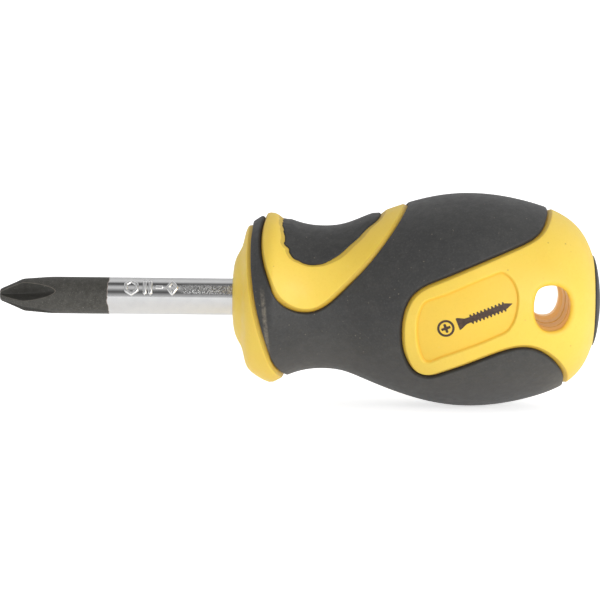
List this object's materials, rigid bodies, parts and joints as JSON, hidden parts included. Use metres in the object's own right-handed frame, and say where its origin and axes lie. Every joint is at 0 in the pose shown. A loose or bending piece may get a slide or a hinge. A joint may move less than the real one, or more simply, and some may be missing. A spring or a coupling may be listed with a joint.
{
  "type": "stubby screwdriver",
  "caption": "Stubby screwdriver with a short fixed cross-recess blade and a bulbous two-tone moulded handle with soft grip inlays, oval label panels and a hanging hole.",
  "frame": {"origin": "centre of the blade's flat end face", "axes": "+X along the tool's axis from the tip to the butt, +Z towards the thumb pad, label panels face +Y and -Y"},
  "size_m": [0.098, 0.034, 0.0344],
  "materials": {
    "blade_steel": "satin chrome-vanadium bar, tip zone dark grey phosphated to 17.4 mm",
    "core_plastic": "tan hard plastic, as moulded, seen in the hanging hole",
    "yellow_plastic": "satin moulded hard plastic with fine grain",
    "black_tpr": "matt soft thermoplastic rubber, slightly dusty"
  },
  "bodies": {
    "root": {"blade": "blade_steel", "inner_core": "core_plastic", "handle_body": "yellow_plastic", "grip_overmould": "black_tpr", "thumb_pad": "black_tpr", "butt_pad": "black_tpr"}
  },
  "joints": []
}
